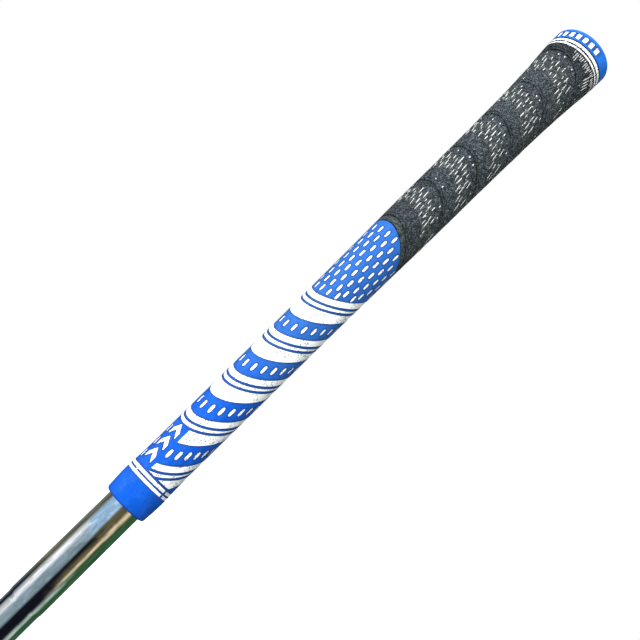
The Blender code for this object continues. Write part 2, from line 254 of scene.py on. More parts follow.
def shifted(faces, start):
    """Faces whose point numbers begin at start."""
    return [tuple(start + int(i) for i in face) for face in faces]


def capped(rows, count):
    """Faces of a stack of closed rings, with the first and the last ring filled."""
    faces = strips(rows, count, closed_section=False)
    return faces + [tuple(range(count)), tuple(reversed(range((rows - 1) * count, rows * count)))]


def spread(rows, angles):
    """The points of all rows; a row gives (distance, radius) at an array of angles."""
    return np.concatenate([place(angles, *row(angles)) for row in rows])


def make_ring(name, rows, material, around=AROUND * 2, **other):
    """A closed ring round the grip."""
    points = spread(rows, np.arange(around) * TURN / around)
    return add_piece(name, points, strips(len(rows), around), material, **other)


def make_fill(name, rows, angles, replaced=()):
    """A strip of white fill with two closed ends."""
    count = len(angles)
    faces = strips(len(rows), count, closed_around=False)
    faces.append(tuple(i * count for i in range(len(rows))))
    faces.append(tuple(i * count + count - 1 for i in reversed(range(len(rows)))))
    add_piece(name, spread(rows, angles), faces, WHITE, replaced, "white_fill")


def skin(front, slant=0.0, depth=0.0, shift=0.0):
    """A row on the outline or depth under it; shift moves it across its own direction."""
    def row(angle):
        distance = beside((front, slant), angle, shift)
        return distance, radius_at(distance) - depth
    return row


def bore(front, radius, slant=0.0):
    return lambda angle: (lean((front, slant), angle), np.full_like(angle, radius))


def fill_rows(low, high, under=FILL_UNDERLAP, top=FILL_SINK, foot=FILL_SINK + FILL_HEIGHT):
    """Rows of a flat fill that reaches a little under the edges of its recess."""
    return [skin(*low, foot, -under), skin(*low, top, -under),
            skin(*high, top, under), skin(*high, foot, under)]


def between(low, high, count, depth):
    """Evenly spread rows between two edges, both left out."""
    shares = [(i + 1) / (count + 1) for i in range(count)]
    return [skin(low[0] + t * (high[0] - low[0]), low[1] + t * (high[1] - low[1]), depth)
            for t in shares]


# Node materials -------------------------------------------------------

class Graph:
    """A node tree under construction, with short calls for the nodes it uses most."""

    def __init__(self, tree, space):
        self.tree = tree
        self.place = self.node("ShaderNodeTexCoord").outputs[space]

    def node(self, kind, inputs=(), **values):
        """A new node; inputs are numbers, tuples or outputs of other nodes."""
        made = self.tree.nodes.new(kind)
        for key, value in values.items():
            setattr(made, key, value)
        for key, value in dict(inputs).items():
            self.feed(made.inputs[key], value)
        return made

    def feed(self, socket, value):
        if isinstance(value, bpy.types.NodeSocket):
            self.tree.links.new(value, socket)
        elif isinstance(value, tuple) and len(value) < len(socket.default_value):
            socket.default_value = (*value, 1.0)
        else:
            socket.default_value = value

    def scaled(self, scale):
        return self.node("ShaderNodeMapping", {"Vector": self.place, "Scale": scale}).outputs[0]

    def noise(self, size, detail=2.0, roughness=0.5, stretch=(1, 1, 1), distortion=0.0):
        """Noise whose blobs are about size metres wide."""
        inputs = {"Vector": self.scaled(tuple(s / size for s in stretch)), "Scale": 1.0,
                  "Detail": detail, "Roughness": roughness, "Distortion": distortion}
        return self.node("ShaderNodeTexNoise", inputs).outputs["Fac"]

    def cells(self, size):
        inputs = {"Vector": self.scaled((1 / size,) * 3), "Scale": 1.0}
        return self.node("ShaderNodeTexVoronoi", inputs).outputs["Distance"]

    def ramp(self, value, stops, interpolation="LINEAR"):
        """A colour ramp; its stops are (position, grey or colour)."""
        made = self.node("ShaderNodeValToRGB", {"Fac": value})
        made.color_ramp.interpolation = interpolation
        elements = made.color_ramp.elements
        for position, colour in stops[2:]:
            elements.new(position)
        for element, (position, colour) in zip(elements, stops):
            element.position = position
            element.color = (*(colour if isinstance(colour, tuple) else (colour,) * 3), 1.0)
        return made.outputs["Color"]

    def maths(self, operation, a, b=0.0):
        return self.node("ShaderNodeMath", {0: a, 1: b}, operation=operation).outputs[0]

    def blend(self, value, low, high, kind="SMOOTHSTEP"):
        """Goes from one (input, output) pair to another and stays level outside."""
        inputs = {"Value": value, "From Min": low[0], "To Min": low[1],
                  "From Max": high[0], "To Max": high[1]}
        return self.node("ShaderNodeMapRange", inputs, interpolation_type=kind).outputs["Result"]

    def axes(self):
        return self.node("ShaderNodeSeparateXYZ", {0: self.place}).outputs

    def times(self, colour, factor):
        inputs = {0: colour, "Scale": factor}
        return self.node("ShaderNodeVectorMath", inputs, operation="SCALE").outputs["Vector"]

    def mix(self, share, a, b):
        return self.node("ShaderNodeMix", {0: share, 6: a, 7: b}, data_type="RGBA").outputs[2]

    def bump(self, height, depth, strength=1.0, after=None):
        inputs = {"Strength": strength, "Distance": depth, "Height": height}
        if after is not None:
            inputs["Normal"] = after
        return self.node("ShaderNodeBump", inputs).outputs["Normal"]


class Look(Graph):
    """A material under construction."""

    def __init__(self, name, roughness, metallic=0.0, specular=0.5):
        self.material = bpy.data.materials.new(name)
        self.material.use_nodes = True
        super().__init__(self.material.node_tree, "Object")
        self.inputs = self.tree.nodes["Principled BSDF"].inputs
        self.feed(self.inputs["Metallic"], metallic)
        self.feed(self.inputs["Specular IOR Level"], specular)
        self.feed(self.inputs["Roughness"], roughness)

    def along(self, low, high):
        """Goes from one (height, value) pair to another up the grip."""
        return self.blend(self.axes()["Z"], low, high)

    def finish(self, colour, normal, rough=None):
        self.feed(self.inputs["Base Color"], colour)
        self.feed(self.inputs["Normal"], normal)
        if rough is not None:
            self.feed(self.inputs["Roughness"], rough)
        return self.material


def blue_rubber(name, handled, tint=(0.0015, 0.080, 0.51)):
    """Blue rubber: plain near the mouth, paler where hands have rubbed it."""
    m = Look(name, 0.5, specular=0.25)
    cloud = m.noise(5 * MM, detail=4.0)
    grain = m.noise(0.8 * MM, detail=3.0)
    scuff = m.noise(2.2 * MM, detail=5.0, roughness=0.7, stretch=(1, 1, 0.5))
    blue = m.mix(m.along((MOUTH + 45 * MM, 0.0), (MOUTH + 88 * MM, 1.0)), tint, handled)
    shade = m.ramp(cloud, [(0.30, 0.88), (0.70, 1.10)])
    base = m.times(blue, shade)
    scuffs_and_stipple_shade = m.ramp(scuff, [(0.48, 0.0), (0.72, 0.5)])
    fresh = m.mix(scuffs_and_stipple_shade, base, tuple(1.25 * c + 0.004 for c in handled))
    # Painted shade: the blue darkens towards navy along the edges of every recess, slot and cap mark.
    edge = m.node("ShaderNodeAttribute", attribute_name="near_recess").outputs["Fac"]
    colour = m.mix(m.maths("MULTIPLY", edge, 0.80), fresh, (0.014, 0.045, 0.14))
    soft = m.bump(cloud, 0.10 * MM, 0.4)
    return m.finish(colour, m.bump(grain, 0.14 * MM, 0.8, after=soft),
                    m.ramp(grain, [(0.3, 0.44), (0.7, 0.62)]))


def white_fill():
    m = Look("white_fill", 0.5, specular=0.3)
    grain = m.noise(0.7 * MM, detail=3.0)
    pit = m.cells(0.90 * MM)
    patch = m.noise(7 * MM, detail=3.0)
    base = m.ramp(grain, [(0.3, (0.84, 0.86, 0.86)), (0.65, (0.95, 0.95, 0.94))])
    deep = m.ramp(pit, [(0.22, 1.0), (0.42, 0.0)])
    rare = m.maths("MULTIPLY", deep, m.ramp(patch, [(0.44, 0.0), (0.56, 0.95)]))
    low = m.maths("SUBTRACT", grain, rare)
    return m.finish(m.mix(rare, base, (0.10, 0.12, 0.18)), m.bump(low, 0.10 * MM, 0.6))


def black_rubber(name, stipple, tint):
    """Stippled black rubber, paler towards the cap and darker again just below it."""
    m = Look(name, 0.62, specular=0.38)
    cloud = m.noise(6 * MM, detail=3.0)
    worms = m.ramp(m.noise(0.9 * MM, detail=1.0, distortion=1.0), [(0.44, 0.0), (0.56, 1.0)])
    grit = m.ramp(m.noise(0.5 * MM, detail=2.0), [(0.44, 0.0), (0.60, 1.0)])
    height = m.maths("ADD", m.maths("MULTIPLY", worms, 0.6), m.maths("MULTIPLY", grit, 0.4))
    paler_towards_cap = m.along((MOUTH + 150 * MM, 1.45), (MOUTH + 240 * MM, 1.68))
    darker_below_cap = m.along((MOUTH + 254 * MM, 1.0), (MOUTH + 259 * MM, 0.55))
    shade = m.maths("MULTIPLY", paler_towards_cap, m.ramp(cloud, [(0.3, 0.88), (0.7, 1.15)]))
    shade = m.maths("MULTIPLY", shade, darker_below_cap)
    # Painted shade and light in the stipple: the colour is dark in its hollows and pale on its raised
    # tops.
    scuffs_and_stipple_shade = m.mix(height, tuple(0.26 * c for c in tint), tuple(2.15 * c for c in tint))
    # Painted shade: the rubber darkens to near black along the engraved lines.
    edge = m.node("ShaderNodeAttribute", attribute_name="near_recess").outputs["Fac"]
    colour = m.mix(m.maths("MULTIPLY", edge, 0.7), m.times(scuffs_and_stipple_shade, shade), (0.003, 0.004, 0.004))
    return m.finish(colour, m.bump(height, stipple), m.ramp(worms, [(0.0, 0.75), (1.0, 0.52)]))


def cord_cloth():
    m = Look("cord_cloth", 0.8, specular=0.25)
    weave = m.noise(0.7 * MM, detail=3.0, roughness=0.6, stretch=(1, 1, 0.5))
    pits = m.ramp(m.noise(1.0 * MM, detail=2.0, distortion=0.8), [(0.42, 0.0), (0.58, 1.0)])
    threads = m.ramp(weave, [(0.36, (0.020, 0.023, 0.025)), (0.52, (0.054, 0.062, 0.066)),
                             (0.70, (0.135, 0.145, 0.145))])
    colour = m.times(threads, m.ramp(pits, [(0.0, 0.75), (1.0, 1.2)]))
    return m.finish(colour, m.bump(weave, 0.20 * MM, after=m.bump(pits, 0.30 * MM)))


def cord_fibre():
    m = Look("cord_fibre", 0.75, specular=0.2)
    strand = m.noise(0.30 * MM, detail=3.0, stretch=(1, 1, 0.25))
    patch = m.noise(2.4 * MM, detail=1.0)
    light = m.ramp(patch, [(0.32, (0.38, 0.39, 0.39)), (0.50, (0.61, 0.63, 0.62))])
    colour = m.mix(m.ramp(strand, [(0.35, 0.5), (0.50, 0.0)]), light, (0.20, 0.21, 0.21))
    return m.finish(colour, m.bump(strand, 0.10 * MM, 0.8))


def chrome():
    m = Look("bright_chrome", 0.05, metallic=1.0)
    smear = m.noise(9 * MM, detail=4.0, stretch=(1, 1, 0.3))
    streak = m.noise(0.6 * MM, detail=2.0, stretch=(1, 1, 0.03))
    swell = m.noise(14 * MM, detail=3.0, stretch=(1, 1, 0.6))
    colour = m.ramp(smear, [(0.35, (0.70, 0.71, 0.72)), (0.70, (0.82, 0.83, 0.84))])
    normal = m.bump(streak, 0.004 * MM, 0.5, after=m.bump(swell, 0.30 * MM, 0.5))
    return m.finish(colour, normal, m.ramp(smear, [(0.35, 0.01), (0.75, 0.045)]))


def plain(name, tint, roughness, size):
    """A matte material with grain, for the pieces that lie inside."""
    m = Look(name, roughness, specular=0.3)
    grain = m.noise(size, detail=4.0)
    colour = m.ramp(grain, [(0.3, tuple(0.75 * c for c in tint)), (0.7, tint)])
    return m.finish(colour, m.bump(grain, size / 6, 0.7))


BLUE = blue_rubber("blue_rubber", (0.020, 0.110, 0.42))
CAP_BLUE = blue_rubber("cap_blue_rubber", (0.014, 0.140, 0.58))
WHITE = white_fill()
BLACK = black_rubber("black_rubber", 0.75 * MM, (0.033, 0.039, 0.044))
COLLAR = black_rubber("collar_rubber", 0.10 * MM, (0.021, 0.026, 0.026))
CLOTH = cord_cloth()
FIBRE = cord_fibre()
CHROME = chrome()


# White fills ----------------------------------------------------------

def fill_bands():
    """Closed white bands as {name: (low edge, high edge)}."""
    bands = {}
    for index in range(1, BAND_COUNT + 1):
        if index > 1:
            bands["white_wide_%d" % index] = period(index, WIDE_EDGES)
        bands["white_mid_%d" % index] = period(index, MID_EDGES)
        bands["white_stripe_%d" % index] = period(index, STRIPE_EDGES)
    return bands


def clipped_bands():
    """White bands that the clip line beside the mouth or the panel interrupts."""
    return {
        "white_wide_0": period(0, WIDE_EDGES),
        "white_mid_0": period(0, MID_EDGES),
        "white_stripe_0": period(0, STRIPE_EDGES),
        "white_wide_1": period(1, WIDE_EDGES),
    }


def clipped_span(high, inset):
    """First and last angle of a clipped band with this high edge, inset from its ends."""
    radius = radius_at(FILL_CLIP)
    first = PANEL[1] + inset / radius
    last = PANEL[0] + TURN - inset / radius
    inside = (FILL_CLIP + 0.1 * MM - high[0]) / high[1]
    if inside > 0:
        reach = math.acos(1 - inside)
        first = max(first, FRONT + reach)
        last = min(last, FRONT + TURN - reach)
    return first, last


def clipped_edge(edge, angles, shift, inset):
    return np.maximum(beside(edge, angles, shift), FILL_CLIP + inset)


def make_fill_bands():
    for name, (low, high) in fill_bands().items():
        low_foot, low_top, high_top, high_foot = fill_rows(low, high)
        rows = [low_foot, low_top, *between(low, high, 4, FILL_SINK), high_top, high_foot]
        make_ring(name + "_fill", rows, WHITE, replaced=[name], slot="white_fill")


def make_clipped_fills():
    for name, (low, high) in clipped_bands().items():
        first, last = clipped_span(high, -FILL_UNDERLAP)
        angles = np.linspace(first, last, 200)

        def row(share, depth, low=low, high=high):
            def at(angle):
                lower = clipped_edge(low, angle, -FILL_UNDERLAP, -FILL_UNDERLAP)
                upper = clipped_edge(high, angle, FILL_UNDERLAP, -FILL_UNDERLAP / 2)
                distance = lower + share * (upper - lower)
                return distance, radius_at(distance) - depth
            return at
        rows = [row(t, FILL_SINK) for t in (0.0, 0.25, 0.5, 0.75, 1.0)]
        rows += [row(1.0, FILL_SINK + FILL_HEIGHT), row(0.0, FILL_SINK + FILL_HEIGHT)]
        make_fill(name + "_fill", rows, angles, [name])


def ring_breaks():
    """Angles at which the white rings are notched, a quarter turn to each side."""
    return [FRONT + TURN / 4, FRONT - TURN / 4]


def make_ring_fills(names, rings):
    """White rings, each in two arcs between its notches."""
    for name, (low, high) in zip(names, rings):
        margin = FILL_UNDERLAP / radius_at(low)
        start, end = ring_breaks()
        for half, (first, last) in enumerate(((start - TURN, end), (end, start))):
            angles = np.linspace(first + NOTCH_HALF - margin, last - NOTCH_HALF + margin, 144)
            make_fill("%s_fill_%d" % (name, half + 1), fill_rows((low, 0), (high, 0)), angles, [name])


def make_ring_bridges():
    """Short white bars that join the two rings of a pair over the front line."""
    for name, rings, sink in (("mouth_ring_bridge", MOUTH_RINGS, FILL_SINK),
                              ("cap_ring_bridge", CAP_RINGS, -0.03 * MM)):
        reach = (BRIDGE_HALF_WIDTH + FILL_UNDERLAP) / radius_at(rings[0][0])
        angles = np.linspace(FRONT - reach, FRONT + reach, 7)
        rows = fill_rows((rings[0][1], 0), (rings[1][0], 0), -FILL_UNDERLAP, sink)
        make_fill(name, rows, angles)


# Slots and marks of the lower half ------------------------------------

def band_slots():
    """(angle, distance) of the slots in the blue bands, evenly spread along each band."""
    slots = []
    for index in range(BAND_COUNT):
        low, high = band_start(index), band_start(index + 1) + WIDE_EDGES[0][0]
        middle = ((low + high) / 2, 9.0 * MM)
        fine = np.linspace(FRONT, FRONT + TURN, 2001)
        arc = np.concatenate([[0.0], np.cumsum(
            (squeeze(middle, fine) * radius_at(middle[0]))[:-1] * np.diff(fine))])
        count = SLOTS_IN_BAND if index else SLOTS_IN_BAND + 2
        start = 0.0 if index else 1.45 * MM
        for k in range(count):
            angle = wrap(np.interp(start + k * arc[-1] / count, arc, fine))
            distance = lean(middle, angle)
            in_panel = index == 0 and PANEL[0] - 0.12 < angle < PANEL[1] + 0.04
            if not in_panel and distance - BAND_SLOT[0] > FILL_CLIP:
                slots.append((angle, distance))
    return slots + [(PANEL_SIDE_ANGLE, distance) for distance in PANEL_SIDE_SLOTS]


def tongue_slots():
    """(angle, distance) of the staggered slots of the tongue."""
    slots = []
    room = TONGUE_SLOT[0] + 0.5 * MM
    for row in range(TONGUE_ROWS):
        for k in range(SLOTS_IN_ROW):
            angle = wrap(FRONT + (k + 0.5 * (row % 2)) * TURN / SLOTS_IN_ROW)
            wanted = TONGUE_ROW_FIRST + row * TONGUE_ROW_PITCH
            low = lean((band_start(BAND_COUNT), STRIPE_EDGES[1][1]), angle) + room
            high = lean(TONGUE_TOP, angle) - room
            distance = min(max(wanted, low), high)
            if low < high and abs(distance - wanted) < TONGUE_SLOT_SHIFT:
                slots.append((angle, distance))
    return slots


def slot_halves(distance):
    """Half length and half width of a slot, smaller towards the tongue."""
    share = min(max((distance - 50 * MM) / (55 * MM), 0.0), 1.0)
    return [first + share * (last - first) for first, last in zip(BAND_SLOT, TONGUE_SLOT)]


def slot_outline(angle, distance, inset, steps=9):
    """Closed outline of a slot with blunt ends, as angles and distances."""
    half_length, half_width = slot_halves(distance)
    turns = np.arange(2 * steps) * math.pi / steps
    across, along = (np.sign(v) * np.abs(v)**(2 / SLOT_POWER) for v in (np.sin(turns), np.cos(turns)))
    angles = angle + (half_width - inset) * across / radius_at(distance)
    return angles, distance + (half_length - inset) * along


def inside_slot(slot, angle, distance):
    """How far inside a slot's outline each place is, negative outside it."""
    half_length, half_width = slot_halves(slot[1])
    across = np.abs(wrap(angle - slot[0])) * radius_at(slot[1])
    along = np.abs(distance - slot[1])
    share = ((across / half_width)**SLOT_POWER + (along / half_length)**SLOT_POWER)**(1 / SLOT_POWER)
    inside = np.hypot(across, along) * (1 / np.maximum(share, 0.01) - 1)
    return np.where(share < 0.02, half_width, inside)


def chevron_edges(start, angle, inset):
    """Low and high distance of a chevron at an angle."""
    middle = sum(PANEL_MARK_ANGLES) / 2
    reach = PANEL_MARK_ANGLES[1] - middle
    tip = PANEL_MARK_LEAN * (1 - np.abs(angle - middle) / reach)
    slant = math.hypot(1, PANEL_MARK_LEAN / (reach * radius_at(start)))
    return start + tip + inset * slant, start + PANEL_MARK_WIDTH + tip - inset * slant


def chevron_span(start, inset):
    margin = inset / radius_at(start)
    return np.linspace(PANEL_MARK_ANGLES[0] + margin, PANEL_MARK_ANGLES[1] - margin, 21)


def make_slot_fills(slots):
    """All painted slots as one piece: shallow closed fills with a soft crown."""
    points, faces = [], []
    rings = ((0.0, FILL_HEIGHT), (0.0, 0.02 * MM), (0.25 * MM, 0.0), (0.55 * MM, -0.015 * MM))
    for angle, distance in slots:
        start = len(points)
        for inset, drop in rings:
            angles, distances = slot_outline(angle, distance, inset - FILL_UNDERLAP)
            points += list(place(angles, distances, radius_at(distances) - FILL_SINK - drop))
        faces += shifted(capped(len(rings), len(angles)), start)
    add_piece("slot_fills", points, faces, WHITE, slot="white_fill")


def make_panel_marks():
    for number, start in enumerate(PANEL_MARKS, 1):
        name = "panel_mark_%d" % number

        def row(side, depth, start=start):
            def at(angle):
                distance = chevron_edges(start, angle, -FILL_UNDERLAP)[side]
                return distance, radius_at(distance) - depth
            return at
        foot = FILL_SINK + FILL_HEIGHT
        rows = [row(0, foot), row(0, FILL_SINK), row(1, FILL_SINK), row(1, foot)]
        make_fill(name + "_fill", rows, chevron_span(start, -FILL_UNDERLAP), [name])


# Lower rubber ---------------------------------------------------------

def inside_band(low, high, angle, distance):
    """Distance inside a band, negative outside it."""
    below = (distance - lean(low, angle)) / squeeze(low, angle)
    above = (lean(high, angle) - distance) / squeeze(high, angle)
    return np.minimum(below, above)


def inside_fills(angle, distance, slots):
    """Distance inside the nearest recess of the lower half, negative on the surface."""
    best = np.full(angle.shape, -1.0)
    for low, high in fill_bands().values():
        best = np.maximum(best, inside_band(low, high, angle, distance))
    for low, high in clipped_bands().values():
        first, last = clipped_span(high, 0.0)
        turn = (angle - first) % TURN
        ends = np.minimum(turn, last - first - turn) * radius_at(distance)
        inside = np.minimum(inside_band(low, high, angle, distance), distance - FILL_CLIP)
        best = np.maximum(best, np.minimum(inside, ends))
    for low, high in MOUTH_RINGS:
        inside = np.minimum(distance - low, high - distance)
        for notch in ring_breaks():
            away = (np.abs(wrap(angle - notch)) - NOTCH_HALF) * radius_at(low)
            inside = np.minimum(inside, away)
        best = np.maximum(best, inside)
    across = BRIDGE_HALF_WIDTH - np.abs(wrap(angle - FRONT)) * radius_at(distance)
    along = np.minimum(distance - sum(MOUTH_RINGS[0]) / 2, sum(MOUTH_RINGS[1]) / 2 - distance)
    best = np.maximum(best, np.minimum(across, along))
    for start in PANEL_MARKS:
        low, high = chevron_edges(start, angle, 0.0)
        ends = np.minimum(angle - PANEL_MARK_ANGLES[0], PANEL_MARK_ANGLES[1] - angle)
        inside = np.minimum(distance - low, high - distance) * 0.8
        best = np.maximum(best, np.minimum(inside, ends * radius_at(start)))
    for slot in slots:
        best = np.maximum(best, inside_slot(slot, angle, distance))
    return best


def recess_depth(inside):
    """Depth of the rubber's surface at a distance inside a recess."""
    first, last = WALL_OFFSETS[1], WALL_OFFSETS[-1]
    share = np.clip((inside - first) / (last - first), 0.0, 1.0)
    return RECESS * share**2 * (3 - 2 * share)


class Sheet:
    """Points and edges in unrolled coordinates, joined into triangles at the end."""

    def __init__(self, seam):
        self.seam = seam
        self.points = []
        self.edges = []
        self.sides = ([], [])

    def run(self, angles, distances):
        """An open run of edges. Its first and last point are given back."""
        start = len(self.points)
        self.points += list(zip(angles, distances))
        end = len(self.points) - 1
        self.edges += [(i, i + 1) for i in range(start, end)]
        return start, end

    def loop(self, angles, distances):
        """A closed outline, moved by whole turns so that it lies past the seam."""
        turned = self.seam + (np.asarray(angles) - self.seam) % TURN
        self.edges.append(self.run(turned, distances)[::-1])

    def strip(self, angles, low, high):
        """The closed outline of a strip between two lines."""
        self.loop(np.concatenate([angles, angles[::-1]]), np.concatenate([low, high[::-1]]))

    def line(self, function):
        """A line round the grip, from the seam to the seam."""
        angles = np.linspace(self.seam, self.seam + TURN, AROUND + 1)
        start, end = self.run(angles, function(angles))
        self.sides[0].append(start)
        self.sides[1].append(end)

    def bay(self, side, angles, distances):
        """An open outline that starts and ends on one side of the seam."""
        self.sides[side].extend(self.run(angles, distances))

    def triangles(self, scale):
        for side in self.sides:
            order = sorted(side, key=lambda i: self.points[i][1])
            self.edges += list(zip(order, order[1:]))
        flat = [Vector((a * scale / MM, d / MM)) for a, d in self.points]
        out = delaunay_2d_cdt(flat, self.edges, [], 0, 1e-5, False)
        made = np.array([(v.x * MM / scale, v.y * MM) for v in out[0]])
        return made, np.array(out[2])


def mark_recesses(piece, inside, reach=EDGE_SHADE):
    """Stores how near each point of the skin is to a recess, for the shade along its edges."""
    points = np.array([v.co for v in piece.data.vertices])
    angle, distance = np.arctan2(points[:, 0], -points[:, 1]), points[:, 2] - MOUTH
    away = np.abs(inside(angle, distance))
    near = np.exp(-(away / reach)**2)
    near[np.hypot(points[:, 0], points[:, 1]) < radius_at(distance) - 2 * RECESS] = 0.0
    piece.data.attributes.new("near_recess", "FLOAT", "POINT").data.foreach_set("value", near)


def add_ring_outlines(sheet, low, high, notch):
    """Outline of a ring with two notches: one loop, and two bays that meet at the seam."""
    first, second = sorted((b - SEAM) % TURN + SEAM for b in ring_breaks())
    spans = ((first + notch, second - notch), (SEAM, first - notch), (SEAM + TURN, second + notch))
    for number, (start, end) in enumerate(spans):
        angles = np.linspace(start, end, AROUND // 2)
        turned = np.concatenate([angles, angles[::-1]])
        outline = np.repeat([low, high], len(angles))
        if number == 0:
            sheet.loop(turned, outline)
        else:
            sheet.bay(number - 1, turned, outline)


def scatter_lower(sheet, bottom, top, slots):
    """Loose points between the outlines, in staggered rows."""
    count = round(TURN * radius_at(UNROLL_AT) / SCATTER)
    for row, distance in enumerate(np.arange(bottom + SCATTER, TONGUE_TOP[0], SCATTER)):
        angles = sheet.seam + (np.arange(count - 1) + 0.5 + 0.5 * (row % 2)) * TURN / count
        clear = np.abs(inside_fills(angles, np.full_like(angles, distance), slots)) > 0.3 * MM
        clear &= lean(top, angles) - distance > 0.6 * MM
        sheet.points += [(angle, distance) for angle in angles[clear]]


def lower_rims(top):
    """The rounded lip, the bore and the slanted upper end, round the same angles as the skin."""
    angles = SEAM + np.arange(AROUND) * TURN / AROUND
    rows = [skin(*top, TOP_EDGE_DROP), bore(top[0], SLEEVE_BORE, top[1])]
    rows += [bore(TAPE_START, SLEEVE_BORE), bore(TAPE_START, LIP_BORE)]
    rows += [bore(0.4 * MM, LIP_BORE), bore(0.0, LIP_BORE + 0.4 * MM)]
    for step in range(7):
        turn = step * math.pi / 12
        rows.append(skin(LIP_ROUND * (1 - math.cos(turn)), 0.0, LIP_ROUND * (1 - math.sin(turn))))
    return spread(rows, angles), strips(len(rows), AROUND, closed_section=False)


def make_lower_rubber(slots):
    sheet = Sheet(SEAM)
    bottom, top = LIP_ROUND, (TONGUE_TOP[0] - SEAM_GAP, TONGUE_TOP[1])
    sheet.line(lambda a: np.full_like(a, bottom))
    for offset in (0.25 * MM, 0.07 * MM, 0.0):
        sheet.line(lambda a, o=offset: beside(top, a, -o))
    for low, high in fill_bands().values():
        for shift in WALL_OFFSETS:
            sheet.line(lambda a, e=low, s=shift: beside(e, a, s))
            sheet.line(lambda a, e=high, s=shift: beside(e, a, -s))
    for low, high in clipped_bands().values():
        for shift in WALL_OFFSETS:
            first, last = clipped_span(high, shift)
            angles = np.linspace(first, last, AROUND)
            lower = clipped_edge(low, angles, shift, shift)
            sheet.strip(angles, lower, clipped_edge(high, angles, -shift, shift))
    for low, high in MOUTH_RINGS:
        for shift in WALL_OFFSETS:
            add_ring_outlines(sheet, low + shift, high - shift, NOTCH_HALF + shift / radius_at(low))
    for shift in WALL_OFFSETS:
        reach = (BRIDGE_HALF_WIDTH - shift) / radius_at(MOUTH_RINGS[0][0])
        low, high = sum(MOUTH_RINGS[0]) / 2, sum(MOUTH_RINGS[1]) / 2
        sheet.loop(FRONT + reach * np.array([-1, -1, 1, 1]), np.array([low, high, high, low]))
    for start in PANEL_MARKS:
        for shift in WALL_OFFSETS:
            angles = chevron_span(start, shift)
            sheet.strip(angles, *chevron_edges(start, angles, shift))
    for angle, distance in slots:
        for shift in WALL_OFFSETS:
            sheet.loop(*slot_outline(angle, distance, shift))
    scatter_lower(sheet, bottom, top, slots)
    flat, faces = sheet.triangles(radius_at(UNROLL_AT))
    middle = flat[faces].mean(axis=1)
    keep = (middle[:, 1] > bottom) & (middle[:, 1] < lean(top, middle[:, 0]))
    faces = faces[keep]
    angle, distance = flat[:, 0], flat[:, 1]
    depth = recess_depth(inside_fills(angle, distance, slots))
    edge_gap = (lean(top, angle) - distance) / squeeze(top, angle)
    depth = depth + TOP_EDGE_DROP * np.clip(1 - edge_gap / (0.2 * MM), 0.0, 1.0)**2
    points = place(angle, distance, radius_at(distance) - depth)
    rim_points, rim_faces = lower_rims(top)
    faces = shifted(faces, 0) + shifted(rim_faces, len(points))
    rubber = add_piece("lower_rubber", np.concatenate([points, rim_points]), faces, BLUE,
                       replaced=["lower_sleeve"], slot="blue_rubber", sharp=50.0)
    mark_recesses(rubber, lambda angle, distance: inside_fills(angle, distance, slots))


# Upper half -----------------------------------------------------------

def seam_start():
    return TONGUE_TOP[0] + SEAM_GAP, TONGUE_TOP[1]


def cord_band(index):
    return [(line_place(index) + offset, UPPER_SLANT) for offset in CORD_BAND]


def engraved(front, slant, width, depth):
    """Rows of a shallow line cut into the surface."""
    return [skin(front - width / 2, slant), skin(front - width / 3, slant, depth),
            skin(front + width / 3, slant, depth), skin(front + width / 2, slant)]


def soft_corner(edge, side, drop=0.12 * MM):
    """Rows of a surface that starts (side 1) or ends (side -1) at an edge."""
    front, slant = edge
    rows = [skin(front, slant, 0.45 * MM), skin(front, slant, drop),
            skin(front + side * 0.06 * MM, slant, drop / 4), skin(front + side * 0.16 * MM, slant)]
    return rows[::side]


def make_smooth_bands():
    for index in range(LINE_COUNT + 1):
        low = seam_start()
        if index > 0:
            low = (cord_band(index)[1][0] + 0.05 * MM, UPPER_SLANT)
        line = (line_place(index), UPPER_SLANT)
        rows = soft_corner(low, 1)
        rows += between(low, line, 2, 0.0)
        rows += engraved(*line, 0.75 * MM, 0.42 * MM)
        rows += engraved(line[0] + COMPANION, UPPER_SLANT, 0.55 * MM, 0.26 * MM)
        if index < LINE_COUNT:
            high = (cord_band(index + 1)[0][0] - 0.05 * MM, UPPER_SLANT)
            rows += between((line[0] + 1.8 * MM, UPPER_SLANT), high, 6, 0.0) + soft_corner(high, -1)
        else:
            high = (CAP_START - SEAM_GAP, 0.0)
            ring_low = (CAP_RINGS[0][0], 0.0)
            rows += between((line[0] + 1.8 * MM, UPPER_SLANT), ring_low, 10, 0.0)
            for groove_low, groove_high in CAP_RINGS:
                rows += [skin(groove_low - 0.06 * MM), skin(groove_low + 0.02 * MM, 0.0, RECESS)]
                rows += [skin(groove_high - 0.02 * MM, 0.0, RECESS), skin(groove_high + 0.06 * MM)]
            rows += soft_corner(high, -1)
        skin_piece = make_ring("smooth_skin_%d" % index, rows, BLACK,
                               replaced=["smooth_band_%d" % index], slot="black_rubber", sharp=60.0)
        mark_recesses(skin_piece, lambda angle, distance: distance - lean(line, angle), LINE_SHADE)
        if index == 0:
            skin_piece.data.materials.append(COLLAR)
            for face in skin_piece.data.polygons:
                x, y, z = face.center
                if z - MOUTH < lean(line, math.atan2(x, -y)):
                    face.material_index = 1


def rough_ring(rows, lifts, angles, size):
    """Points of rows whose surface is lifted and sunk by noise."""
    points = []
    for row, lift in zip(rows, lifts):
        flat = place(angles, *row(angles))
        if lift:
            for point in flat:
                spot = Vector(point) / size
                level = noise.noise(spot) + 0.6 * noise.noise(spot / 0.45)
                outward = point[:2] / np.hypot(*point[:2])
                point[:2] += outward * lift * level
        points.append(flat)
    return np.concatenate(points)


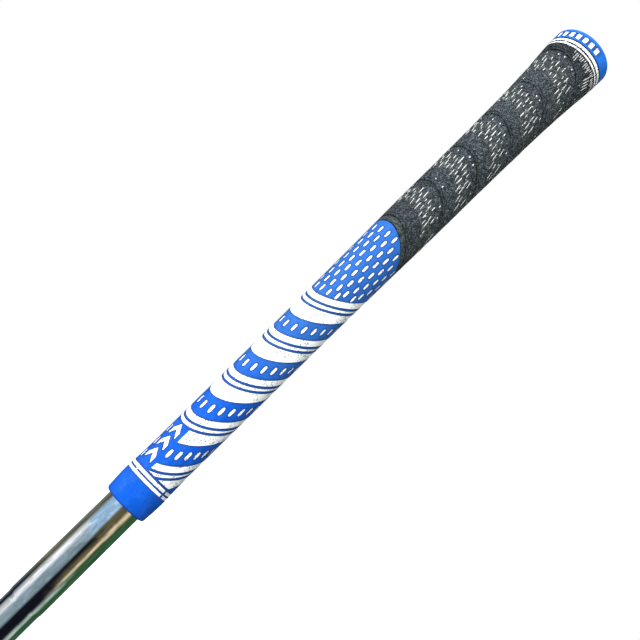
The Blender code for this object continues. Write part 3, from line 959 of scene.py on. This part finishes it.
def make_cord_cloth():
    """The cord cloth, thin under the skins and raised to a rough surface in the bands."""
    front, slant = seam_start()
    top = CAP_START - SEAM_GAP
    upper, lower = 0.75 * MM, 1.35 * MM
    rows = [skin(front, slant, lower), skin(front, slant, upper)]
    lifts = [0.0, 0.0]
    for index in range(1, LINE_COUNT + 1):
        low, high = cord_band(index)
        raised = [skin(*low, upper), skin(*low, 0.15 * MM)] + between(low, high, CLOTH_ROWS, 0.0)
        raised += [skin(*high, 0.15 * MM), skin(*high, upper)]
        rows += raised
        lifts += [0.0, 0.0] + [CLOTH_LIFT] * CLOTH_ROWS + [0.0, 0.0]
    rows += [skin(top, 0.0, upper), skin(top, 0.0, lower)]
    rows += [skin(distance, 0.0, lower) for distance in (0.262, 0.252, 0.242)]
    rows += [skin(distance, -0.004, lower) for distance in (0.230, 0.210, 0.190, 0.170)]
    lifts += [0.0] * 9
    angles = np.arange(CLOTH_AROUND) * TURN / CLOTH_AROUND
    points = rough_ring(rows, lifts, angles, 0.9 * MM)
    add_piece("cord_cloth", points, strips(len(rows), CLOTH_AROUND), CLOTH,
              replaced=["cord_ply"], slot="cord_cloth", sharp=70.0)


class Strands:
    """Half-buried cord strands gathered into one piece."""

    SIDES = 8
    STATIONS = 9

    def __init__(self):
        self.points = []
        self.faces = []

    def add(self, angle, distance, length, width, tilt, lift=0.10 * MM):
        start = len(self.points)
        for i in range(self.STATIONS):
            t = math.sin(math.pi / 2 * (2 * i / (self.STATIONS - 1) - 1))
            swell = math.sqrt(max(1 - t * t, 0.0)) * 0.92 + 0.08
            along = t * length / 2
            middle = distance + along * math.cos(tilt)
            radius = float(radius_at(middle))
            centre = angle - along * math.sin(tilt) / radius
            for k in range(self.SIDES):
                turn = TURN * k / self.SIDES
                side = centre + swell * width / 2 * math.cos(turn) / radius
                rise = swell * (0.30 * MM + lift) / 2 * (1 + math.sin(turn)) - 0.30 * MM
                self.points.append(place(side, middle, radius + rise))
        self.faces += shifted(capped(self.STATIONS, self.SIDES), start)

    def finish(self, name):
        add_piece(name, self.points, self.faces, FIBRE, slot="cord_cloth", sharp=80.0)


def beside_seam(angle):
    """1 on the two sides where the moulds met, -1 midway between them."""
    return math.cos(2 * (angle - MOULD_SEAM))


def make_cord_strands():
    """Pale strands that lie open in each cord band, staggered like bricks, and stray ones."""
    chance = random.Random(41)
    for index in range(1, LINE_COUNT + 1):
        strands = Strands()
        low = cord_band(index)[0][0]
        for k in range(STRANDS_IN_BAND):
            angle = (k + chance.uniform(-0.22, 0.22)) * TURN / STRANDS_IN_BAND
            if beside_seam(angle) > 0.75 and chance.random() < 0.75:
                continue
            stagger = STRAND_STAGGER[k % len(STRAND_STAGGER)] + chance.uniform(-0.5, 0.5) * MM
            place_at = lean((low + stagger, UPPER_SLANT), angle)
            length = chance.choice(STRAND_LENGTHS)
            pull = max(beside_seam(angle), 0.0)
            tilt = math.radians(chance.uniform(1.0, 8.0) + 14.0 * pull)
            strands.add(angle, place_at, length + 2.5 * MM * pull, chance.uniform(0.42, 0.60) * MM,
                        tilt, chance.uniform(0.06, 0.12) * MM)
        for k in range(LOOSE_STRANDS):
            angle = chance.uniform(0.0, TURN)
            place_at = lean((low + chance.uniform(0.8, 8.0) * MM, UPPER_SLANT), angle)
            strands.add(angle, place_at, chance.uniform(0.8, 2.4) * MM, 0.40 * MM, 0.05, 0.05 * MM)
        for k in range(STRAY_STRANDS):
            angle = (k + chance.uniform(0.1, 0.9)) * TURN / STRAY_STRANDS
            aside = chance.choice((-2.8, -2.2, -1.7, -1.2, 2.6)) * MM
            place_at = lean((line_place(index) + aside, UPPER_SLANT), angle)
            strands.add(angle, place_at, chance.uniform(1.1, 2.0) * MM, 0.68 * MM, 0.1, 0.09 * MM)
        strands.finish("cord_strands_%d" % index)


def make_cap_strands():
    """Short strands that show in front of the cap, and a plain mark of slanted bars."""
    strands = Strands()
    chance = random.Random(7)
    for k in range(CAP_STRANDS):
        angle = k * TURN / CAP_STRANDS + chance.uniform(-0.01, 0.01)
        length = chance.uniform(1.6, 5.2) * MM
        if math.cos(2 * (angle - CAP_STRANDS_MIDDLE)) < -0.2:
            continue
        strands.add(angle, CAP_RINGS[0][0] - 0.3 * MM - length / 2, length, 0.46 * MM,
                  math.radians(chance.uniform(-4.0, 8.0)), 0.12 * MM)
    for k in range(CAP_BARS):
        angle = math.radians(40.0 + 5.0 * k)
        strands.add(angle, CAP_RINGS[0][0] - 4.6 * MM - 0.7 * MM * k, CAP_BAR_LENGTH, CAP_BAR_WIDTH,
                  math.radians(-14.0), 0.12 * MM)
    strands.finish("cap_side_strands")


def make_cap_ring_fills():
    for number, (low, high) in enumerate(CAP_RINGS, 1):
        rows = fill_rows((low, 0), (high, 0), -0.02 * MM, 0.06 * MM, 0.24 * MM)
        start = ring_breaks()[0]
        angles = np.linspace(start + NOTCH_HALF / 2, start + TURN - NOTCH_HALF / 2, 288)
        make_fill("cap_ring_%d_fill" % number, rows, angles, ["cap_ring_%d" % number])


# Cap ------------------------------------------------------------------

def cap_mark_spans():
    pitch = (CAP_MARK_ANGLES[1] - CAP_MARK_ANGLES[0]) / (CAP_MARKS - 1)
    half = CAP_MARK_SHARE * pitch / 2
    middles = [CAP_MARK_ANGLES[0] + pitch * k for k in range(CAP_MARKS)]
    return [(middle - half, middle + half) for middle in middles]


def cap_mark_size(span):
    """Radius, half width and half height of a cap mark inside its round corners."""
    radius = radius_at(CAP_MARK_EDGES[0])
    half_height = (CAP_MARK_EDGES[1] - CAP_MARK_EDGES[0]) / 2
    return radius, (span[1] - span[0]) / 2 * radius - CAP_MARK_CORNER, half_height - CAP_MARK_CORNER


def bar_outline(span, inset, steps=5):
    """Closed outline of a cap mark with round corners, as arrays of angles and distances."""
    radius, wide, tall = cap_mark_size(span)
    angles, distances = [], []
    for quarter, (side, up) in enumerate(((1, 1), (-1, 1), (-1, -1), (1, -1))):
        for i in range(steps + 1):
            turn = (quarter + i / steps) * math.pi / 2
            across = side * wide + (CAP_MARK_CORNER - inset) * math.cos(turn)
            along = up * tall + (CAP_MARK_CORNER - inset) * math.sin(turn)
            angles.append(sum(span) / 2 + across / radius)
            distances.append(sum(CAP_MARK_EDGES) / 2 + along)
    return np.array(angles), np.array(distances)


def inside_cap_marks(angle, distance):
    """Distance inside the nearest cap mark, negative outside it."""
    best = np.full(angle.shape, -1.0)
    for span in cap_mark_spans():
        radius, wide, tall = cap_mark_size(span)
        across = np.abs(wrap(angle - sum(span) / 2)) * radius - wide
        along = np.abs(distance - sum(CAP_MARK_EDGES) / 2) - tall
        outside = np.hypot(np.maximum(across, 0.0), np.maximum(along, 0.0))
        inside = CAP_MARK_CORNER - outside - np.minimum(np.maximum(across, along), 0.0)
        best = np.maximum(best, inside)
    return best


def make_end_cap():
    """The cap with a domed face, a round rim, a vent and sunk marks."""
    sheet = Sheet(math.pi)
    bottom, top = CAP_START + 0.12 * MM, GRIP_LENGTH - CAP_ROUND
    for distance in (bottom, bottom + 0.25 * MM, top):
        sheet.line(lambda a, d=distance: np.full_like(a, d))
    for span in cap_mark_spans():
        for shift in WALL_OFFSETS:
            sheet.loop(*bar_outline(span, shift))
    flat, faces = sheet.triangles(radius_at(bottom))
    angle, distance = flat[:, 0], flat[:, 1]
    depth = recess_depth(inside_cap_marks(angle, distance))
    points = place(angle, distance, radius_at(distance) - depth)
    angles = math.pi + np.arange(AROUND) * TURN / AROUND
    foot = CAP_START - SPIGOT_LENGTH
    rows = [bore(foot, VENT_RADIUS), bore(foot, SPIGOT_RADIUS), bore(CAP_START, SPIGOT_RADIUS),
            skin(CAP_START, 0.0, 0.12 * MM), skin(bottom)]
    rim = [skin(GRIP_LENGTH - CAP_ROUND * (1 - math.sin(turn)) - FACE_DIP * (turn / (math.pi / 2))**8,
                0.0, CAP_ROUND * (1 - math.cos(turn)))
           for turn in np.linspace(0.0, math.pi / 2, 11)]
    edge = OUTLINE[-1][1] - CAP_ROUND
    face = [bore(GRIP_LENGTH - FACE_DIP * (2 - (radius / edge)**2), radius)
            for radius in np.linspace(edge, 1.6 * MM, 8)[1:]]
    vent = [bore(GRIP_LENGTH - 2.4 * FACE_DIP, 1.25 * MM), bore(GRIP_LENGTH - 1.0 * MM, VENT_RADIUS),
            bore(foot, VENT_RADIUS)]
    faces = shifted(faces, 0)
    for group in (rows, rim + face + vent):
        faces += shifted(strips(len(group), AROUND, closed_section=False), len(points))
        points = np.concatenate([points, spread(group, angles)])
    cap = add_piece("cap_shell", points, faces, CAP_BLUE,
                    replaced=["end_cap"], slot="blue_rubber", sharp=50.0)
    mark_recesses(cap, inside_cap_marks)


def make_cap_mark_fills():
    for number, span in enumerate(cap_mark_spans(), 1):
        outlines = [(bar_outline(span, -FILL_UNDERLAP), FILL_SINK + FILL_HEIGHT),
                    (bar_outline(span, -FILL_UNDERLAP), FILL_SINK),
                    (bar_outline(span, 0.3 * MM), FILL_SINK - 0.01 * MM)]
        points = np.concatenate([place(a, d, radius_at(d) - depth) for (a, d), depth in outlines])
        faces = capped(len(outlines), len(outlines[0][0][0]))
        name = "cap_mark_%d" % number
        add_piece(name + "_fill", points, faces, WHITE, replaced=[name], slot="white_fill")


# Shaft ----------------------------------------------------------------

def make_shaft():
    """The chromed tube: a burr-free cut end, one soft step and its bore."""
    foot = SHAFT_FOOT
    rows = [bore(foot + 0.12 * MM, SHAFT_STEP_RADIUS), bore(foot + 1.0 * MM, SHAFT_STEP_RADIUS)]
    for i in range(13):
        share = i / 12
        rise = share**2 * (3 - 2 * share)
        radius = SHAFT_STEP_RADIUS + (SHAFT_RADIUS - SHAFT_STEP_RADIUS) * rise
        rows.append(bore(-SHAFT_STEP_BELOW + (share - 0.5) * SHAFT_STEP_LENGTH, radius))
    rows += [bore(0.0, SHAFT_RADIUS), bore(SHAFT_TOP, SHAFT_RADIUS)]
    inner, lower_inner = SHAFT_RADIUS - SHAFT_WALL, SHAFT_STEP_RADIUS - SHAFT_WALL
    rows += [bore(SHAFT_TOP, inner), bore(-SHAFT_STEP_BELOW, inner)]
    rows += [bore(-SHAFT_STEP_BELOW - 2 * MM, lower_inner), bore(foot + 0.1 * MM, lower_inner)]
    rows += [bore(foot, lower_inner + 0.1 * MM), bore(foot, SHAFT_STEP_RADIUS - 0.12 * MM)]
    make_ring("chromed_shaft", rows, CHROME, around=256, replaced=["shaft_tube"],
              slot="chromed_steel", sharp=35.0)


# Camera, light and floor ----------------------------------------------

def make_camera():
    """The camera faces -Y's side of the mouth end, looks up a little and is rolled."""
    forward = Vector((0.0, math.cos(CAMERA_PITCH), math.sin(CAMERA_PITCH)))
    along = Vector((0.0, -math.sin(CAMERA_PITCH), math.cos(CAMERA_PITCH)))
    side = Vector((1.0, 0.0, 0.0))
    forward, side = (forward * math.cos(CAMERA_TURN) + side * math.sin(CAMERA_TURN),
                     side * math.cos(CAMERA_TURN) - forward * math.sin(CAMERA_TURN))
    right = along * math.cos(CAMERA_ROLL) + side * math.sin(CAMERA_ROLL)
    up = along * math.sin(CAMERA_ROLL) - side * math.cos(CAMERA_ROLL)
    data = bpy.data.cameras.new("camera")
    data.sensor_width = 36.0
    data.lens = CAMERA_LENS
    camera = bpy.data.objects.new("camera", data)
    rotation = Matrix((right, up, -forward)).transposed().to_4x4()
    camera.matrix_world = Matrix.Translation((0.0, -CAMERA_AWAY, MOUTH + CAMERA_PAST_MOUTH)) @ rotation
    bpy.context.scene.collection.objects.link(camera)
    bpy.context.scene.camera = camera


def make_light(name, azimuth, elevation, distance, power):
    """A soft square light that faces the middle of the grip."""
    data = bpy.data.lights.new(name, "AREA")
    data.shape = "SQUARE"
    data.size = LIGHT_SIZE
    data.energy = power
    light = bpy.data.objects.new(name, data)
    turn, rise = math.radians(azimuth), math.radians(elevation)
    toward = Vector((math.sin(turn) * math.cos(rise), -math.cos(turn) * math.cos(rise), math.sin(rise)))
    light.location = Vector((0.0, 0.0, MOUTH + GRIP_LENGTH / 2)) + toward * distance
    light.rotation_euler = toward.to_track_quat("Z", "Y").to_euler()
    light.visible_glossy = False
    bpy.context.scene.collection.objects.link(light)


def screen(red, green, blue):
    """Light value of a colour given as it shows on a screen, 0 to 255."""
    return tuple(((c / 255 + 0.055) / 1.055)**2.4 for c in (red, green, blue))


# The room that the chrome mirrors, as (azimuth in degrees, tone) at three heights of view:
# sky and cloud to the left of the camera, bare ground before it and grass to the right.
SKY, CLOUD, OVERCAST, HAZE = (160, 195, 225), (240, 245, 250), (130, 150, 160), (170, 190, 180)
STRAW, SAND, GRASS, SHADE = (95, 90, 65), (215, 195, 160), (50, 85, 55), (20, 20, 30)
ROOM_HIGH = (
    (-180, OVERCAST), (-110, STRAW), (-70, SKY), (-15, SKY), (8, STRAW), (35, STRAW),
    (60, SAND), (85, GRASS), (145, GRASS), (180, OVERCAST),
)
ROOM_MIDDLE = (
    (-180, OVERCAST), (-110, STRAW), (-65, CLOUD), (-35, OVERCAST), (-5, OVERCAST), (15, SHADE),
    (48, STRAW), (62, SAND), (80, GRASS), (145, GRASS), (180, OVERCAST),
)
ROOM_LOW = (
    (-180, OVERCAST), (-110, SHADE), (-65, CLOUD), (-35, OVERCAST), (-5, OVERCAST), (14, SHADE),
    (58, SHADE), (84, HAZE), (105, GRASS), (145, GRASS), (180, OVERCAST),
)
# Upward parts of the mirrored direction between which one level gives way to the next.
ROOM_STEPS = ((-0.139, -0.19), (-0.20, -0.262))


def make_world():
    """White to the camera, and a room in muted tones to everything that mirrors it."""
    world = bpy.data.worlds.new("studio")
    world.use_nodes = True
    world.node_tree.nodes.clear()
    graph = Graph(world.node_tree, "Generated")
    x, y, z = graph.axes()
    turn = graph.maths("ARCTAN2", x, graph.maths("MULTIPLY", y, -1.0))
    turn = graph.maths("ADD", graph.maths("DIVIDE", turn, TURN), 0.5)
    levels = []
    for room in (ROOM_HIGH, ROOM_MIDDLE, ROOM_LOW):
        stops = [(azimuth / 360 + 0.5, screen(*tone)) for azimuth, tone in room]
        levels.append(graph.ramp(turn, stops, "EASE"))
    seen = levels[0]
    for (start, end), lower in zip(ROOM_STEPS, levels[1:]):
        seen = graph.mix(graph.blend(z, (start, 0.0), (end, 1.0)), seen, lower)
    clutter = graph.noise(1.0, detail=6.0, roughness=0.65, stretch=(3, 3, 40), distortion=0.6)
    gain = graph.blend(clutter, (0.35, ROOM_GAIN[0]), (0.65, ROOM_GAIN[1]), "LINEAR")
    path = graph.node("ShaderNodeLightPath").outputs
    lit = graph.mix(path["Is Glossy Ray"], AMBIENT, graph.times(seen, gain))
    shown = graph.mix(path["Is Camera Ray"], lit, (1.0, 1.0, 1.0))
    background = graph.node("ShaderNodeBackground", {"Color": shown})
    graph.node("ShaderNodeOutputWorld", {"Surface": background.outputs[0]})
    bpy.context.scene.world = world


def make_floor():
    mesh = bpy.data.meshes.new("floor")
    half, level = 6.0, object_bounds()[0][2] - 0.0002
    mesh.from_pydata([(-half, -half, level), (half, -half, level), (half, half, level),
                      (-half, half, level)], [], [(0, 1, 2, 3)])
    floor = bpy.data.objects.new("floor", mesh)
    bpy.context.scene.collection.objects.link(floor)
    pale = Look("pale_floor", 0.9, specular=0.0)
    ends = {0: pale.place, 1: (0.0, 0.0, level)}
    away = pale.node("ShaderNodeVectorMath", ends, operation="DISTANCE")
    pale.feed(pale.inputs["Base Color"], (0.86, 0.86, 0.86))
    pale.feed(pale.inputs["Emission Color"], (1.0, 1.0, 1.0))
    glow = pale.ramp(away.outputs["Value"], [(0.1, 0.80), (0.9, 1.0)])
    pale.feed(pale.inputs["Emission Strength"], glow)
    mesh.materials.append(pale.material)
    floor.visible_glossy = False
    floor.visible_diffuse = False


def paint_inner_pieces():
    """Grain for the CAD nodes that stay: the core under the cord and the tape."""
    looks = {
        "upper_core": plain("core_rubber", (0.045, 0.046, 0.048), 0.85, 0.9 * MM),
        "grip_tape": plain("tape_paper", (0.62, 0.56, 0.40), 0.8, 0.5 * MM),
    }
    for node, look in looks.items():
        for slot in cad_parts[node].material_slots:
            slot.material = look


bpy.context.scene.view_settings.view_transform = "Standard"
make_camera()
make_world()
make_light("key", -18.0, 16.0, 1.3, 33.0)
make_light("fill", -84.0, 5.0, 1.3, 11.5)
make_light("rim", 150.0, 25.0, 1.4, 14.0)
make_floor()
slots = band_slots() + tongue_slots()
make_lower_rubber(slots)
make_slot_fills(slots)
make_fill_bands()
make_clipped_fills()
make_ring_fills(("mouth_ring_1", "mouth_ring_2"), MOUTH_RINGS)
make_ring_bridges()
make_panel_marks()
make_smooth_bands()
make_cord_cloth()
make_cord_strands()
make_cap_strands()
make_cap_ring_fills()
make_end_cap()
make_cap_mark_fills()
make_shaft()
paint_inner_pieces()
